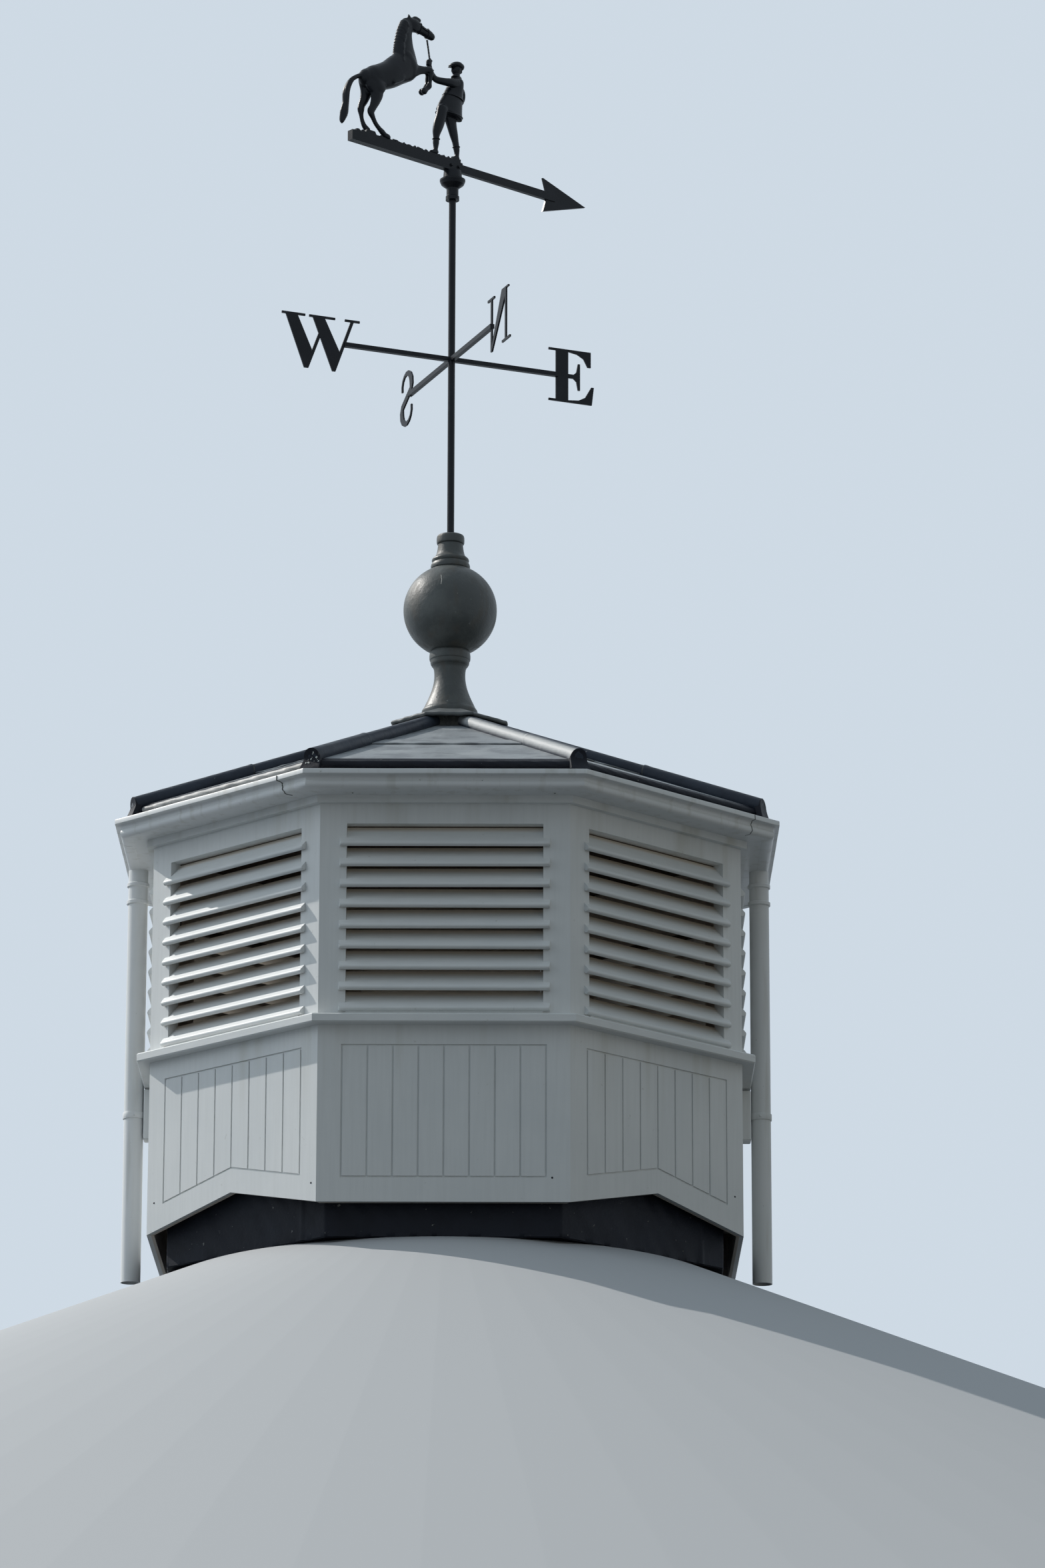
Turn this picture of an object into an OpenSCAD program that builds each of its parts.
// Octagonal louvred roof cupola with a lead roof, a ball finial, a compass and a turning weathervane.
// Millimetres. Z is up, the origin is the middle of the curb's underside, and the front side faces -Y.

/* [Octagon] */
// Centre to the face of a louvre wall or a skirt board
wall_ap = 1000; // [900:10:1100]
// Thickness of the louvre walls
wall_t = 45; // [30:1:60]
// Gap between boards or sheets that lie on each other
fit_gap = 0.05; // [0.02:0.01:0.2]

/* [Curb and skirt] */
// Height of curb that shows under the skirt
curb_show = 105; // [60:5:160]
// How far the curb stands in behind the skirt face
curb_inset = 70; // [55:1:90]
// Thickness of the curb
curb_t = 60; // [40:1:80]
// Height of the skirt
skirt_h = 590; // [500:5:700]
// Thickness of the skirt boards
skirt_t = 25; // [18:1:32]
// Rise of the notch that clears a hip of the roof below
notch_rise = 88; // [40:1:120]
// Margin between the corner of a skirt side and its boarded field
field_side = 80; // [50:1:110]
// Margin above the boarded field
field_top = 68; // [40:1:100]
// Margin below the boarded field
field_foot = 83; // [50:1:120]
// Number of boards in a field
boards = 8; // [5:1:10]
// Width of a groove between boards
groove_w = 6; // [3:0.5:9]
// Depth of a groove between boards
groove_d = 5; // [2:0.5:9]
// Height of the two battens behind a skirt side
batten_h = 70; // [40:5:90]
// Gap between the end of a batten and the corner
batten_gap = 30; // [10:5:60]

/* [Sill] */
// Thickness of the sill
sill_t = 35; // [25:1:50]
// How far the sill stands out from the wall
sill_out = 44; // [30:1:44]

/* [Louvres] */
// Width of a louvre opening
opening_w = 650; // [560:5:680]
// Number of blades on a side
blades = 9; // [7:1:10]
// Distance from one blade to the next
blade_pitch = 70; // [62:1:80]
// Gap between the sill and the lowest blade
blade_foot = 10; // [6:1:14]
// Gap between the highest blade and the rail above it
blade_head = 8; // [4:1:14]
// Height of the rail that shows between the openings and the fascia
rail_show = 67; // [50:1:90]
// How far a blade stands out from the wall
blade_out = 26; // [8:1:32]
// Length of a blade end that laps the wall beside the opening
blade_lap = 11; // [5:1:20]
// Thickness of a blade
blade_t = 11; // [8:1:14]
// Height of the undercut lip along the front of a blade
lip_h = 9; // [6:1:18]
// How deep a blade reaches behind the wall face
blade_in = 42; // [30:1:50]

/* [Fascia and gutter] */
// Thickness of the fascia board
fascia_t = 22; // [15:1:30]
// Height of the fascia board
fascia_h = 88; // [70:1:100]
// Height of fascia that shows under the gutter
fascia_show = 25; // [15:1:40]
// Width of the gutter from the fascia to the lip
gutter_w = 108; // [95:1:120]
// Height of the gutter
gutter_h = 60; // [50:1:75]
// Wall of the gutter
gutter_t = 3; // [2:0.5:5]
// Radius of the two curves of the ogee
ogee_r = 18; // [14:1:22]
// Height of the lip bead
lip_bead = 15; // [8:1:18]

/* [Downpipes] */
// Radius of a downpipe
pipe_r = 34; // [30:1:38]
// Wall of a downpipe
pipe_t = 3; // [2:0.5:5]
// Height of a downpipe's foot above the underside of the curb
pipe_foot = 20; // [5:5:60]
// Distance from the gutter to the first collar
collar_drop = 45; // [30:5:80]
// Distance from one collar to the next
collar_gap = 62; // [40:1:80]
// Height of a collar
collar_h = 14; // [8:1:20]
// How far a collar stands out
collar_out = 5; // [3:1:7]

/* [Roof] */
// Slope of the roof
pitch = 22.5; // [18:0.5:26]
// How far the drip edge of the lead stands out from the wall
eaves_out = 75; // [60:1:85]
// Height of the drip edge above the top of the gutter
eaves_rise = 46; // [40:1:70]
// Thickness of the roof boarding
deck_t = 22; // [15:1:30]
// Thickness of the lead
lead_t = 4; // [2:0.5:6]
// Distance of the lap between the two courses of lead from the drip edge
lap_back = 395; // [275:5:500]
// Width of the lap
lap_w = 100; // [50:5:150]
// Diameter of the round drip nose
nose_d = 28; // [20:1:34]
// Radius of a hip roll
roll_r = 27; // [20:1:32]
// Height of a hip roll's axis above the lead
roll_rise = 9; // [4:1:14]
// Growth of a hip roll's radius below its joint
roll_lap_t = 2.5; // [1.5:0.5:4]
// Height of the plumb end of a hip roll's foot above the gutter
roll_end_foot = 14; // [6:1:20]
// Width of the plumb end at its foot
roll_end_w = 80; // [68:1:90]
// Thickness of the plumb end
roll_end_t = 8; // [5:1:12]
// Centre to the upper edge of the boards and the lead, under the saddle
crown_ap = 62; // [50:1:70]
// Centre to the rim of the saddle
saddle_ap = 205; // [170:5:240]
// Thickness of the saddle, which rests on the hip rolls
saddle_t = 16.5; // [10:0.5:20]
// Width of the saddle's turned-down edge
saddle_edge = 15; // [10:1:24]
// Drop of the saddle's turned-down edge
saddle_drop = 9; // [4:1:12]

/* [Finial] */
// Radius of the flared foot of the stem
foot_r = 98; // [85:1:110]
// Radius of the stem at its waist
waist_r = 54; // [40:1:60]
// Height of the upright rim of the foot
foot_rim = 14; // [6:1:20]
// Height of the flare above the rim
flare_h = 82; // [60:1:100]
// Height of the stem from the saddle to the collar
stem_h = 183; // [160:1:220]
// Radius of the collar and of the ring above the ball
collar_r = 71; // [62:1:80]
// Height of the collar
stem_collar_h = 52; // [30:1:60]
// Radius of the ball
ball_r = 164; // [140:1:190]
// Height of the ring above the ball
ring_h = 40; // [28:1:48]
// Height of the neck above the ring
neck_h = 58; // [40:1:80]
// Radius of the cap
cap_r = 48; // [36:1:56]
// Height of the cap
cap_h = 37; // [25:1:50]

/* [Mast and compass] */
// Radius of the mast
mast_r = 12.5; // [10:0.5:14]
// Height of the mast above the cap
mast_h = 1345; // [1200:1:1500]
// Height of the compass above the cap
compass_h = 641; // [500:1:760]
// Turn of the west to east arm from the X axis
compass_turn = 22.5; // [0:0.5:45]
// Thickness of the square compass arms
arm_t = 16; // [11:1:20]
// Length of the other compass arms from the centre to their letters
arm_len = 400; // [350:1:450]
// Length of the north arm from the centre to its letter
north_len = 374; // [340:1:450]
// Height of a letter
letter_h = 200; // [160:5:240]
// Thickness of a letter plate
letter_t = 6; // [4:0.5:8]
// Depth of the slot in an arm that holds its letter
letter_seat = 10; // [6:1:16]
// How much further the slot for the S goes in, as the S crosses its arm
s_seat = 14; // [10:1:24]

/* [Vane] */
// Turn of the arrow from the X axis as it stands
vane_turn = 40.5; // [0:0.5:90]
// Gap between the mast and the bore of the hub
bearing_gap = 0.08; // [0.05:0.01:0.1]
// Radius of the hub's foot collar
hub_collar_r = 24.5; // [22:0.5:28]
// Height of the hub's foot collar
hub_collar_h = 17; // [12:1:30]
// Radius of the hub tube
tube_r = 21.5; // [19:0.5:24]
// Height of the hub tube above its collar
tube_h = 28; // [20:1:50]
// Radius of the hub bowl
bowl_r = 46; // [38:1:54]
// Height of the hub bowl
bowl_h = 39; // [30:1:56]
// Height of the hub neck between the bowl and the bar
hub_neck_h = 27; // [16:1:34]
// Height of the arrow shaft
shaft_h = 30; // [20:1:34]
// Thickness of the arrow shaft
shaft_t = 15; // [10:1:20]
// Height of the bar that carries the figures
bar_h = 37; // [32:1:44]
// Thickness of the bar that carries the figures
bar_t = 27; // [20:1:34]
// Reach of the bar behind the mast
bar_back = 474; // [440:1:520]
// Reach of the bar past the mast
bar_front = 36; // [30:1:60]
// Reach of the arrow tip from the mast
tip_reach = 630; // [560:5:680]
// Length of the arrow head
head_len = 205; // [160:5:240]
// Height of the arrow head
head_h = 130; // [100:5:160]
// Thickness of the arrow head
head_t = 9; // [6:1:14]
// Height of the rough ground on the bar
ground_h = 9; // [5:1:14]
// Height of the rearing horse above the middle of the bar's top
horse_h = 533; // [480:1:580]

/* [Hidden] */
$fn = 64;
sides = 8;
step = 360 / sides;
T8 = tan(step / 2);
far = 3000;
tip = 20;

curb_ap = wall_ap - curb_inset;
sill_z = curb_show + skirt_h;
storey_z = sill_z + sill_t;
opening_h = blade_foot + blades * blade_pitch + blade_head;
fascia_z = storey_z + opening_h + rail_show;
gutter_z = fascia_z + fascia_show;
gutter_top = gutter_z + gutter_h;
fascia_ap = wall_ap + fascia_t;
lip_ap = fascia_ap + gutter_w;
pipe_x = wall_ap + sill_out + pipe_r + 1;

eaves_ap = wall_ap + eaves_out;
lap_ap = eaves_ap - lap_back;
slope = tan(pitch);
eaves_z = gutter_top + eaves_rise;
lead_z = eaves_z + eaves_ap * slope;
deck_z = lead_z - lead_t / cos(pitch);
ceiling_z = deck_z - deck_t / cos(pitch);

hip = cos(step / 2);
roll_fall = atan(slope * hip);
side_fall = slope * sin(step / 2);
roll_top_z = lead_z + roll_rise + fit_gap + roll_r * sqrt(1 / pow(cos(roll_fall), 2) + pow(side_fall, 2));
saddle_z = roll_top_z + saddle_t;
stem_z = slope_at(saddle_z, foot_r) + fit_gap;
collar_z = stem_z + stem_h;
ball_sink = ball_r - sqrt(ball_r * ball_r - waist_r * waist_r);
ball_z = collar_z + stem_collar_h + ball_r - ball_sink;
ring_z = ball_z + ball_r - ball_sink;
cap_z = ring_z + ring_h + neck_h;
cap_top = cap_z + cap_h;
mast_top = cap_top + mast_h;
compass_z = cap_top + compass_h;
sleeve_gap = 0.5;

bearing_roof = 10;
bearing_play = 2;
hub_top = mast_top + bearing_play + bearing_roof;
hub_h = hub_collar_h + tube_h + bowl_h + hub_neck_h;
hub_z = hub_top - hub_h;
bar_top = 13;
shaft_mid = bar_top - bar_h / 2;
drawn_h = 533;
figure = horse_h / drawn_h;
// Level places under the feet: [along the bar, height], drawn for a horse of drawn_h.
soles = [[-390, 30], [-314, 19], [-100, 19], [13, 25]];
sole_w = 44;
vane_z = hub_top + bar_h - bar_top;

// Turns what is drawn on the front side to side i, counted anticlockwise from above.
module on_side(i) rotate([0, 0, i * step]) children();

// Turns what is drawn along the front-right corner line to corner i.
module on_corner(i) rotate([0, 0, (i + 0.5) * step - 90]) children();

// One eighth of the plan, under the front side.
module eighth()
    translate([0, 0, -1])
        linear_extrude(far)
            polygon([[0, 0], [-T8 * far, -far], [T8 * far, -far]]);

// Carries a section, drawn as (distance from the centre, height), along the front side.
module run()
    rotate([90, 0, -90])
        linear_extrude(2 * far, center = true)
            children();

// Solid with eight like sides and mitred corners. Its outline climbs the outside as [centre to side, height].
module eight_sided(outline)
    intersection_for(i = [0 : sides / 2 - 1])
        on_side(i)
            run()
                polygon(concat(
                    outline,
                    [for (k = [len(outline) - 1 : -1 : 0]) [-outline[k][0], outline[k][1]]]
                ));

module octagon(ap, z, h)
    translate([0, 0, z])
        rotate([0, 0, step / 2])
            cylinder(r = ap / cos(step / 2), h = h, $fn = sides);

module octagon_tube(ap_out, ap_in, z, h)
    difference() {
        octagon(ap_out, z, h);
        octagon(ap_in, z - 1, h + 2);
    }

// Height of the roof's slope z0 at distance ap from the centre.
function slope_at(z0, ap) = z0 - ap * slope;

// Sloping layer from ap_in out to ap_out, t thick, whose top would meet the centre line at z0.
module slope_layer(ap_in, ap_out, z0, t)
    difference() {
        eight_sided([
            [ap_out, slope_at(z0, ap_out) - 2 * t],
            [ap_out, slope_at(z0, ap_out)],
            [tip, slope_at(z0, tip)]
        ]);
        eight_sided([[far, slope_at(z0, far) - t / cos(pitch)], [tip, slope_at(z0, tip) - t / cos(pitch)]]);
        octagon(ap_in, 0, far);
    }

module curb()
    color("dimgray")
        octagon_tube(curb_ap, curb_ap - curb_t, 0, sill_z);

// Skirt

// Height of the skirt's foot above curb_show at x, on a side over a hip of the roof below.
function notch(x, over_hip) = over_hip ? notch_rise * (1 - abs(x) / (wall_ap * T8)) : 0;

module skirt_face(inset, foot, head, over_hip) {
    w = wall_ap * T8 - inset;
    polygon([
        [-w, foot + notch(w, over_hip)],
        [0, foot + notch(0, over_hip)],
        [w, foot + notch(w, over_hip)],
        [w, head],
        [-w, head]
    ]);
}

module field_grooves(over_hip) {
    w = 2 * (wall_ap * T8 - field_side);
    difference() {
        skirt_face(field_side - groove_w / 2, field_foot - groove_w / 2,
            skirt_h - field_top + groove_w / 2, over_hip);
        for (b = [0 : boards - 1])
            intersection() {
                skirt_face(field_side + groove_w / 2, field_foot + groove_w / 2,
                    skirt_h - field_top - groove_w / 2, over_hip);
                translate([-w / 2 + b * w / boards + groove_w / 2, 0])
                    square([w / boards - groove_w, skirt_h]);
            }
    }
}

module skirt_side(i) {
    over_hip = i % 2 == 1;
    batten_ap = wall_ap - skirt_t;
    batten_w = 2 * (curb_ap * T8 - batten_gap);
    color("white")
        on_side(i) {
            difference() {
                intersection() {
                    translate([0, -batten_ap, curb_show])
                        rotate([90, 0, 0])
                            linear_extrude(skirt_t)
                                skirt_face(-1, 0, skirt_h, over_hip);
                    eighth();
                }
                translate([0, -wall_ap + groove_d, curb_show])
                    rotate([90, 0, 0])
                        linear_extrude(groove_d + 1)
                            field_grooves(over_hip);
            }
            for (z = [curb_show + notch_rise + batten_h, sill_z - 2 * batten_h])
                translate([-batten_w / 2, -batten_ap, z])
                    cube([batten_w, batten_ap - curb_ap, batten_h]);
        }
}

// Sill

module sill() {
    out_ap = wall_ap + sill_out;
    arris = 4;
    fall = 5;
    color("white")
        difference() {
            eight_sided([
                [out_ap - arris, sill_z],
                [out_ap, sill_z + arris],
                [out_ap, storey_z - fall - arris],
                [out_ap - arris, storey_z - fall],
                [wall_ap, storey_z]
            ]);
            octagon(curb_ap - curb_t, 0, far);
        }
}

// Louvre storey

module stile_zone(i, hand)
    on_side(i)
        scale([hand, 1, 1])
            translate([opening_w / 2, -wall_ap - 1, storey_z - 1])
                cube([wall_ap * T8 + 1 - opening_w / 2, wall_t + 1, opening_h + 2]);

// Two stiles mitred at corner i, between side i and side i + 1.
module corner_post(i)
    color("white")
        intersection() {
            octagon_tube(wall_ap, wall_ap - wall_t, storey_z, opening_h);
            union() {
                stile_zone(i, 1);
                stile_zone(i + 1, -1);
            }
        }

module head_rail()
    color("white")
        difference() {
            eight_sided([
                [wall_ap, storey_z + opening_h],
                [wall_ap, slope_at(ceiling_z, wall_ap)],
                [wall_ap - 2 * wall_t, slope_at(ceiling_z, wall_ap - 2 * wall_t)]
            ]);
            octagon(wall_ap - wall_t, 0, far);
        }

// Section of one blade: distance in front of the wall, height above the blade's lower edge.
module blade_section() {
    nose = 5;
    top_gap = 4;
    rise = blade_pitch + blade_head - top_gap;
    polygon([
        [blade_out - nose - blade_t / 2, 0],
        [blade_out - nose, 0],
        [blade_out, lip_h - 2],
        [blade_out - 1, lip_h],
        [-blade_in, rise],
        [-blade_in, rise - blade_t * 1.4]
    ]);
}

module blade() {
    end_gap = 0.5;
    wide = opening_w / 2 + blade_lap;
    narrow = opening_w / 2 - end_gap;
    intersection() {
        translate([0, -wall_ap, 0])
            run()
                blade_section();
        union() {
            translate([-wide, -wall_ap - 2 * blade_out, -1])
                cube([2 * wide, 2 * blade_out, 2 * blade_pitch]);
            translate([-narrow, -wall_ap - 2 * blade_out, -1])
                cube([2 * narrow, 4 * blade_out + blade_in, 2 * blade_pitch]);
        }
    }
}

module louvres_side(i)
    color("whitesmoke")
        on_side(i)
            for (b = [0 : blades - 1])
                translate([0, 0, storey_z + blade_foot + b * blade_pitch])
                    blade();

// Eaves

module fascia()
    color("white")
        octagon_tube(fascia_ap, wall_ap + fit_gap, fascia_z, fascia_h);

function arc_points(cx, cz, r, a0, a1, n) =
    [for (k = [0 : n]) [cx + r * cos(a0 + (a1 - a0) * k / n), cz + r * sin(a0 + (a1 - a0) * k / n)]];

// Line up the outside of the gutter, or up its inside at t, from the foot round the ogee to the lip.
function gutter_line(t) =
    let (lip_foot = gutter_top - lip_bead, neck_ap = lip_ap - 4)
    let (foot_ap = neck_ap - 2 * ogee_r - 3)
    concat(
        arc_points(foot_ap, gutter_z + ogee_r, ogee_r - t, -90, 0, 6),
        arc_points(neck_ap, lip_foot - ogee_r, ogee_r + t, 180, 90, 6)
    );

module gutter()
    color("white")
        difference() {
            eight_sided(concat(
                gutter_line(0),
                [[lip_ap, gutter_top - 5], [lip_ap, gutter_top - 2], [lip_ap - 2, gutter_top]]
            ));
            difference() {
                eight_sided(concat(gutter_line(gutter_t), [[lip_ap - 1.2 * gutter_t, gutter_top + 1]]));
                octagon(fascia_ap + gutter_t, 0, far);
            }
            octagon(fascia_ap, 0, far);
            for (s = [-1, 1])
                translate([s * pipe_x, 0, gutter_z - 1])
                    cylinder(r = pipe_r - pipe_t, h = gutter_t + 2);
        }

module downpipe(s)
    color("white")
        translate([s * pipe_x, 0, 0])
            difference() {
                union() {
                    translate([0, 0, pipe_foot])
                        cylinder(r = pipe_r, h = gutter_z - pipe_foot);
                    for (k = [0, 1])
                        translate([0, 0, gutter_z - collar_drop - k * collar_gap - collar_h])
                            rotate_extrude()
                                polygon([
                                    [0, 0],
                                    [pipe_r + collar_out - 2, 0],
                                    [pipe_r + collar_out, 2],
                                    [pipe_r + collar_out, collar_h - 2],
                                    [pipe_r + collar_out - 2, collar_h],
                                    [0, collar_h]
                                ]);
                }
                translate([0, 0, pipe_foot - 1])
                    cylinder(r = pipe_r - pipe_t, h = gutter_z - pipe_foot + 2);
            }

// Roof

module roof_deck()
    color("burlywood")
        slope_layer(crown_ap, eaves_ap - nose_d, deck_z, deck_t);

module lead_lower()
    color("slategray")
        slope_layer(lap_ap - lap_w, eaves_ap - nose_d, lead_z, lead_t);

// Outside of the upper course: it climbs the lap that lies over the lower course, then runs to the crown.
function upper_course(lift, foot, last_ap) =
    let (lap_in = lap_ap - lap_w)
    [
        [lap_ap, slope_at(lead_z, lap_ap) - foot],
        [lap_ap, slope_at(lead_z, lap_ap) + lift],
        [lap_in, slope_at(lead_z, lap_in) + lift],
        [lap_in - lead_t, slope_at(lead_z, lap_in - lead_t)],
        [last_ap, slope_at(lead_z, last_ap)]
    ];

module lead_upper() {
    lap_in = lap_ap - lap_w - fit_gap;
    color("slategray")
        difference() {
            eight_sided(upper_course(lead_t / cos(pitch), 3 * lead_t, tip));
            eight_sided([[far, slope_at(deck_z, far) + fit_gap], [tip, slope_at(deck_z, tip) + fit_gap]]);
            difference() {
                eight_sided([[far, slope_at(lead_z, far) + fit_gap], [tip, slope_at(lead_z, tip) + fit_gap]]);
                octagon(lap_in, 0, far);
            }
            octagon(crown_ap, 0, far);
        }
}

module drip_edge() {
    in_ap = eaves_ap - nose_d + fit_gap;
    nose_ap = eaves_ap - nose_d / 2;
    mid_z = eaves_z - nose_d / 2 + 2;
    color("dimgray")
        difference() {
            eight_sided(concat(
                arc_points(nose_ap, mid_z, nose_d / 2, -90, 90 - pitch, 10),
                [[in_ap, slope_at(lead_z, in_ap)]]
            ));
            octagon(in_ap, 0, far);
        }
}

module hip_rolls() {
    end_r = eaves_ap / hip;
    lap_r = lap_ap * 0.9;
    top_r = (foot_r + 12) / hip;
    past = 2 * roll_r;
    under_lead = lead_t / cos(pitch);
    color("slategray")
        difference() {
            for (i = [0 : sides - 1])
                on_corner(i)
                    difference() {
                        translate([0, 0, lead_z + roll_rise])
                            rotate([0, 90 + roll_fall, 0]) {
                                translate([0, 0, top_r / cos(roll_fall)])
                                    cylinder(
                                        r = roll_r,
                                        h = (end_r - top_r) / cos(roll_fall) + past,
                                        $fn = 40
                                    );
                                translate([0, 0, lap_r / cos(roll_fall)])
                                    cylinder(
                                        r = roll_r + roll_lap_t,
                                        h = (end_r - lap_r) / cos(roll_fall) + past,
                                        $fn = 40
                                    );
                            }
                        translate([end_r, -far / 2, 0])
                            cube([far, far, far]);
                    }
            translate([0, 0, fit_gap])
                eight_sided(concat([[far, slope_at(lead_z, far)]], upper_course(under_lead, 0, crown_ap)));
        }
}

// Plumb cheeks that close the feet of the rolls.
module roll_ends() {
    end_r = eaves_ap / hip;
    r = roll_r + roll_lap_t;
    axis_z = lead_z + roll_rise - end_r * tan(roll_fall);
    foot_z = gutter_top + roll_end_foot;
    color("dimgray")
        for (i = [0 : sides - 1])
            on_corner(i)
                translate([end_r + fit_gap, 0, 0])
                    rotate([90, 0, 90])
                        linear_extrude(roll_end_t)
                            polygon(concat(
                                [[roll_end_w / 2, foot_z]],
                                arc_points(0, axis_z, r, 15, 165, 12),
                                [[-roll_end_w / 2, foot_z]]
                            ));
}

// The cap over the heads of the rolls. It follows the roof's pitch out from its level middle.
module saddle() {
    edge_ap = saddle_ap - saddle_edge;
    color("slategray")
        difference() {
            eight_sided([
                [saddle_ap, slope_at(roll_top_z, saddle_ap)],
                [saddle_ap, slope_at(saddle_z, saddle_ap) - saddle_drop],
                [edge_ap, slope_at(saddle_z, edge_ap)],
                [foot_r, slope_at(saddle_z, foot_r)]
            ]);
            eight_sided([[far, slope_at(roll_top_z, far)], [foot_r, slope_at(roll_top_z, foot_r)]]);
        }
}

// Finial

module sleeve(z, h)
    translate([0, 0, z - 1])
        cylinder(r = mast_r + sleeve_gap, h = h + 2);

module finial_stem()
    color("darkslategray")
        difference() {
            translate([0, 0, stem_z])
                rotate_extrude()
                    polygon(concat(
                        [[0, 0], [foot_r, 0]],
                        [for (k = [0 : 10])
                            let (s = k / 10)
                            [waist_r + (foot_r - waist_r) * pow(1 - s, 1.5), foot_rim + flare_h * s]],
                        arc_points(collar_r - 4, stem_h - 4, collar_r - waist_r - 4, 180, 90, 4),
                        [[collar_r, stem_h + 17], [collar_r + 1, stem_h + 26], [collar_r - 3, stem_h + 40]],
                        [[collar_r - 10, stem_h + stem_collar_h], [0, stem_h + stem_collar_h]]
                    ));
            sleeve(stem_z, stem_h + stem_collar_h);
        }

module finial_ball() {
    low = collar_z + stem_collar_h + fit_gap;
    high = ring_z - fit_gap;
    color("darkslategray")
        difference() {
            translate([0, 0, ball_z])
                sphere(r = ball_r, $fn = 96);
            translate([-far, -far, low - far])
                cube([2 * far, 2 * far, far]);
            translate([-far, -far, high])
                cube([2 * far, 2 * far, far]);
            sleeve(low, high - low);
        }
}

module finial_neck()
    color("darkslategray")
        difference() {
            translate([0, 0, ring_z])
                rotate_extrude()
                    polygon(concat(
                        [[0, 0], [waist_r, 0], [collar_r - 4, 5], [collar_r, 9], [collar_r, ring_h - 10]],
                        [for (k = [0 : 8])
                            let (s = k / 8)
                            [cap_r - 4 + (collar_r - cap_r - 2) * pow(1 - s, 2), ring_h + neck_h * s]],
                        [[cap_r, ring_h + neck_h + 4], [cap_r, ring_h + neck_h + cap_h - 6]],
                        [[cap_r - 6, ring_h + neck_h + cap_h], [0, ring_h + neck_h + cap_h]]
                    ));
            sleeve(ring_z, cap_top - ring_z);
        }

module mast()
    color("black")
        translate([0, 0, stem_z])
            cylinder(r = mast_r, h = mast_top - stem_z);

// Compass

// Puts what is drawn in (along the arm, up) onto an arm that points at angle a from the west to east arm.
module on_arm(a)
    translate([0, 0, compass_z])
        rotate([0, 0, compass_turn + a])
            rotate([90, 0, 0])
                children();

// Piece of a letter, cut from plate. Places inside a letter count in tenths of its height.
module plate(outline)
    linear_extrude(letter_t, center = true)
        polygon([for (p = outline) p * letter_h / 10]);

// A straight stroke whose ends are cut level: middle of its top and of its foot, and its level width.
module stroke(x_top, z_top, x_foot, z_foot, w)
    plate([
        [x_top - w / 2, z_top],
        [x_top + w / 2, z_top],
        [x_foot + w / 2, z_foot],
        [x_foot - w / 2, z_foot]
    ]);

module bar(x, z, w, t) stroke(x, z + t, x, z, w);

thin = 0.75;
hair = 0.4;
top = 5;

module w_shape() {
    plate([[-11.7, top], [-9.5, top], [-6.6, -1.5], [-7.4, -top], [-8, -top]]);
    plate([[-6.6, top], [-4.4, top], [-1.4, -1.2], [-2.1, -top], [-2.7, -top]]);
    stroke(-4.9, 2.2, -7.5, -top, 0.6);
    stroke(1.1, top, -2.4, -top, 0.6);
    bar(-10.1, top - hair, 4.4, hair);
    bar(-4.7, top - hair, 4.9, hair);
    bar(1, top - hair, 2.8, hair);
}

module e_shape() {
    stroke(1.2, top, 1.2, -top, 2.4);
    bar(2.7, top - hair, 8.2, hair);
    bar(2.6, -top, 8, hair);
    bar(2.4, -thin / 2, 4.2, thin);
    plate([[2.4, 4.6], [4.2, 4.3], [5.4, 3.6], [6.2, 2.1], [6.8, 2.1], [6.8, top]]);
    plate([[2.4, -4.6], [4.4, -4.4], [5.7, -3.7], [6.9, -1.6], [7.4, -1.6], [7, -top], [2.4, -top]]);
    for (s = [-1, 1])
        scale([1, s, 1])
            plate([[3, 0], [4, 0.9], [4.3, 2.5], [4.7, 2.5], [4.7, 0]]);
}

module n_shape() {
    stroke(0, top, 0, -top, 0.5);
    plate([[4.8, top], [6.6, top], [6.4, 3.6], [0.3, -top], [-0.3, -top]]);
    stroke(6.5, top, 6.5, -4.6, 0.5);
    bar(-0.2, top - hair, 3, hair);
    bar(6.7, -4.9, 3.6, hair);
    bar(7, top - 0.3, 1.6, 0.3);
}

// Outline of a curved stroke along a path of [x, z, half width].
function ribbon(path) =
    let (n = len(path) - 1)
    let (side = [for (k = [0 : n])
        let (d = path[min(k + 1, n)] - path[max(k - 1, 0)])
        let (m = norm([d[0], d[1]]))
        [-d[1] / m, d[0] / m] * path[k][2]])
    concat(
        [for (k = [0 : n]) [path[k][0], path[k][1]] + side[k]],
        [for (k = [n : -1 : 0]) [path[k][0], path[k][1]] - side[k]]
    );

module s_shape() {
    upper = [for (a = [195 : -25 : -30])
        [1.5 + 2.3 * cos(a), 2.3 + 2.4 * sin(a), 0.22 + 0.55 * max(0, 1 - abs(a - 10) / 120)]];
    lower = [for (a = [150 : 25 : 375])
        [1.5 + 2.4 * cos(a), -2.5 + 2.4 * sin(a), 0.22 + 0.55 * max(0, 1 - abs(a - 190) / 120)]];
    plate(ribbon(concat(upper, lower)));
}

module letter_slot(reach)
    translate([reach, -arm_t, -letter_t / 2])
        cube([4 * letter_seat, 2 * arm_t, letter_t]);

module compass_arms() {
    long = arm_len + letter_seat;
    color("black")
        difference() {
            union() {
                on_arm(0)
                    translate([-long, -arm_t / 2, -arm_t / 2])
                        cube([2 * long, arm_t, arm_t]);
                on_arm(-90)
                    translate([-long, -arm_t / 2, -arm_t / 2])
                        cube([long + north_len + letter_seat, arm_t, arm_t]);
            }
            translate([0, 0, compass_z - arm_t])
                cylinder(r = mast_r, h = 2 * arm_t);
            on_arm(0) letter_slot(arm_len);
            on_arm(180) letter_slot(arm_len);
            on_arm(90) letter_slot(arm_len - s_seat);
            on_arm(-90) letter_slot(north_len);
        }
}

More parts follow.
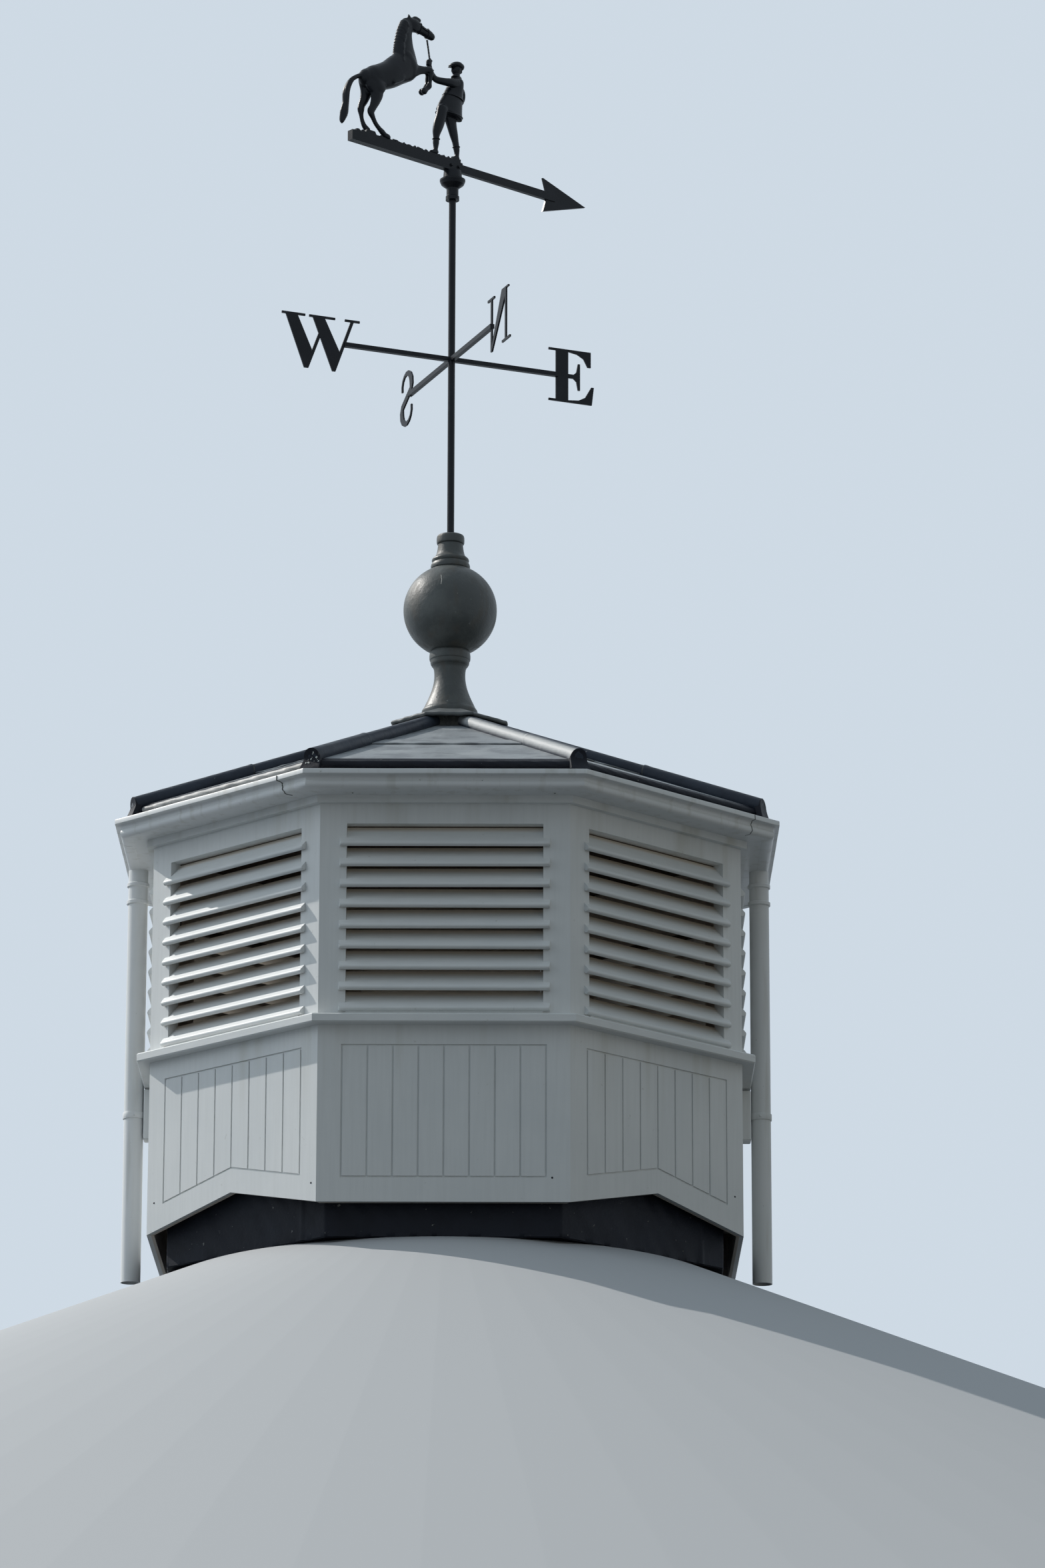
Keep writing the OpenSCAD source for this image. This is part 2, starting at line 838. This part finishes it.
// A letter at a reach along arm a, moved by dx and dz in tenths of its height.
module letter(a, reach, dx, dz)
    color("black")
        on_arm(a)
            translate([reach + dx * letter_h / 10, dz * letter_h / 10, 0])
                children();

module letter_n() letter(-90, north_len, 0.26, 0.25) n_shape();
module letter_s() letter(-90, -arm_len, -3.2, -0.25) s_shape();
module letter_e() letter(0, arm_len, 0.15, 0) e_shape();
module letter_w() letter(0, -arm_len, 0, -0.25) w_shape();

// Vane

module on_vane()
    translate([0, 0, vane_z])
        rotate([0, 0, vane_turn])
            children();

module vane_hub() {
    bowl_z = hub_collar_h + tube_h;
    color("black")
        difference() {
            translate([0, 0, hub_z])
                rotate_extrude()
                    polygon([
                        [0, 0], [hub_collar_r, 0], [hub_collar_r, hub_collar_h - 3], [tube_r, hub_collar_h],
                        [tube_r, bowl_z], [tube_r + 4, bowl_z + 3], [bowl_r - 5, bowl_z + bowl_h * 0.4],
                        [bowl_r, bowl_z + bowl_h * 0.7], [bowl_r, bowl_z + bowl_h * 0.85],
                        [bowl_r - 12, bowl_z + bowl_h], [bowl_r - 14, hub_h], [0, hub_h]
                    ]);
            translate([0, 0, hub_z - 1])
                cylinder(r = mast_r + bearing_gap, h = mast_top + bearing_play + 1 - hub_z);
        }
}

// Height of the ground at u along the bar: level under a foot, rough elsewhere.
function ground_at(u, k) =
    let (level = [for (p = soles) if (abs(u - p[0] * figure) < sole_w / 2) p[1] * figure])
    len(level) > 0 ? level[0] : bar_top + ground_h * (0.8 + 0.35 * sin(k * 97) + 0.25 * sin(k * 211));

// Trims the feet of a figure level with the ground they stand on.
module standing()
    difference() {
        children();
        for (p = soles)
            translate([(p[0] - sole_w / 2) * figure, -far / 2, (p[1] + fit_gap) * figure - far])
                cube([sole_w * figure, far, far]);
    }

module vane_bar() {
    color("black")
        on_vane() {
            translate([-bar_back, -bar_t / 2, bar_top - bar_h])
                cube([bar_back + bar_front, bar_t, bar_h]);
            translate([bar_front, -shaft_t / 2, shaft_mid - shaft_h / 2])
                cube([tip_reach - head_len * 0.72 - bar_front, shaft_t, shaft_h]);
            translate([0, bar_t / 2, bar_top])
                rotate([90, 0, 0])
                    linear_extrude(bar_t)
                        polygon(concat(
                            [[-bar_back + 2 * ground_h, 0]],
                            [for (k = [0 : 68])
                                let (span = bar_back + bar_front - 3 * ground_h)
                                let (u = -bar_back + 2 * ground_h + span * k / 68)
                                [u, ground_at(u, k) - bar_top]],
                            [[bar_front - ground_h, 0]]
                        ));
        }
}

module arrow_head()
    color("black")
        on_vane()
            translate([0, 0, shaft_mid])
                rotate([90, 0, 0])
                    difference() {
                        linear_extrude(head_t, center = true)
                            polygon([
                                [tip_reach, 0],
                                [tip_reach - head_len, head_h / 2],
                                [tip_reach - head_len * 0.9, 0],
                                [tip_reach - head_len, -head_h / 2]
                            ]);
                        translate([tip_reach - head_len, -shaft_h / 2, -head_t])
                            cube([head_len * 0.28, shaft_h, 2 * head_t]);
                    }

module station(p)
    translate([p[0], p[1], p[2]] * figure)
        scale([1, p[4] / p[3], 1])
            sphere(r = p[3] * figure, $fn = 12);

// A limb through stations, drawn for a horse of drawn_h.
// Station: [along the bar, across it, height, radius seen from the side, half thickness].
module limb(stations)
    for (k = [0 : len(stations) - 2])
        hull() {
            station(stations[k]);
            station(stations[k + 1]);
        }

// One body drawn tight round its stations.
module mass(stations)
    hull()
        for (p = stations)
            station(p);

module horse()
    color("black")
        on_vane() standing() {
            limb([[-384, 0, 233, 45, 36], [-316, 0, 260, 51, 40], [-228, 0, 321, 59, 37]]);
            limb([[-224, 0, 347, 53, 34], [-230, 0, 404, 41, 22], [-228, 0, 448, 32, 17],
                [-216, 0, 486, 27, 15]]);
            limb([[-199, 0, 499, 23, 14], [-180, 0, 490, 27, 16], [-140, 0, 479, 19, 14],
                [-109, 0, 471, 18, 13]]);
            limb([[-177, 0, 518, 11, 9], [-161, 0, 517, 9, 8]]);
            limb([[-212, -7, 512, 7, 4], [-218, -9, 521, 3, 2]]);
            limb([[-200, 7, 520, 7, 4], [-203, 9, 530, 3, 2]]);
            limb([[-204, -14, 305, 27, 16], [-156, -18, 321, 15, 10], [-123, -20, 328, 13, 9],
                [-123, -20, 299, 10, 8], [-126, -19, 269, 11, 9], [-150, -18, 241, 12, 10]]);
            limb([[-184, 14, 318, 27, 16], [-135, 18, 334, 15, 10], [-103, 20, 341, 13, 9],
                [-105, 20, 310, 10, 8], [-108, 19, 281, 11, 9], [-132, 18, 253, 12, 10]]);
            limb([[-378, -14, 206, 38, 20], [-367, -15, 172, 29, 16], [-380, -15, 127, 18, 11],
                [-390, -13, 101, 16, 11], [-367, -11, 61, 10, 8], [-337, -10, 39, 11, 9],
                [-311, -9, 25, 13, 11]]);
            limb([[-392, 14, 221, 34, 20], [-391, 15, 178, 24, 15], [-410, 15, 128, 15, 11],
                [-415, 13, 110, 14, 11], [-412, 11, 71, 9, 8], [-402, 10, 50, 10, 9], [-389, 9, 37, 12, 11]]);
            limb([[-414, 0, 236, 14, 12], [-439, 0, 228, 10, 10], [-482, 0, 187, 11, 11],
                [-494, 0, 150, 13, 13], [-495, 0, 110, 13, 13], [-503, 0, 71, 18, 13],
                [-510, 0, 44, 13, 11], [-512, 0, 28, 4, 5]]);
        }

module groom()
    color("black")
        on_vane() standing() {
            mass([[17, 0, 322, 22, 30], [7, 0, 291, 34, 27], [-67, 0, 194, 12, 22], [30, 0, 194, 12, 22]]);
            limb([[14, 0, 326, 15, 15], [15, 0, 350, 15, 14]]);
            mass([[13, 0, 366, 20, 18], [18, 0, 377, 21, 20]]);
            mass([[28, 0, 385, 18, 21], [10, 0, 384, 15, 21], [-9, 0, 383, 6, 14]]);
            limb([[2, -18, 312, 19, 14], [-31, -24, 304, 17, 13], [-88, -14, 302, 14, 10],
                [-105, -1, 334, 12, 8], [-112, 0, 356, 12, 8]]);
            limb([[24, 22, 322, 19, 13], [50, 25, 320, 15, 12], [69, 28, 302, 10, 11],
                [71, 30, 280, 9, 9]]);
            limb([[-60, -11, 190, 22, 17], [-68, -11, 161, 21, 17], [-83, -11, 109, 18, 14],
                [-86, -9, 47, 10, 10], [-88, -8, 27, 9, 9], [-108, -8, 24, 7, 8]]);
            limb([[-4, 10, 180, 25, 17], [12, 10, 118, 16, 13], [26, 8, 55, 10, 10],
                [23, 7, 35, 9, 9], [4, 6, 31, 7, 8]]);
        }

module lead_rein() {
    hand = [-109, 0, 373] * figure;
    chin = [-123, 0, 449] * figure;
    reach = chin - hand;
    color("black")
        on_vane()
            translate(hand)
                rotate([0, atan2(reach[0], reach[2]), 0])
                    cylinder(r = 4, h = norm(reach), $fn = 20);
}

curb();
skirt_side(0);  // skirt_front
skirt_side(1);  // skirt_front_right
skirt_side(2);  // skirt_right
skirt_side(3);  // skirt_back_right
skirt_side(4);  // skirt_back
skirt_side(5);  // skirt_back_left
skirt_side(6);  // skirt_left
skirt_side(7);  // skirt_front_left
sill();
corner_post(0);  // post_front_right
corner_post(1);  // post_right_front
corner_post(2);  // post_right_back
corner_post(3);  // post_back_right
corner_post(4);  // post_back_left
corner_post(5);  // post_left_back
corner_post(6);  // post_left_front
corner_post(7);  // post_front_left
head_rail();
louvres_side(0);  // louvres_front
louvres_side(1);  // louvres_front_right
louvres_side(2);  // louvres_right
louvres_side(3);  // louvres_back_right
louvres_side(4);  // louvres_back
louvres_side(5);  // louvres_back_left
louvres_side(6);  // louvres_left
louvres_side(7);  // louvres_front_left
fascia();
gutter();
downpipe(-1);  // downpipe_left
downpipe(1);  // downpipe_right
roof_deck();
lead_lower();
lead_upper();
drip_edge();
hip_rolls();
roll_ends();
saddle();
finial_stem();
finial_ball();
finial_neck();
mast();
compass_arms();
letter_n();
letter_e();
letter_s();
letter_w();
vane_hub();
vane_bar();
arrow_head();
horse();
groom();
lead_rein();
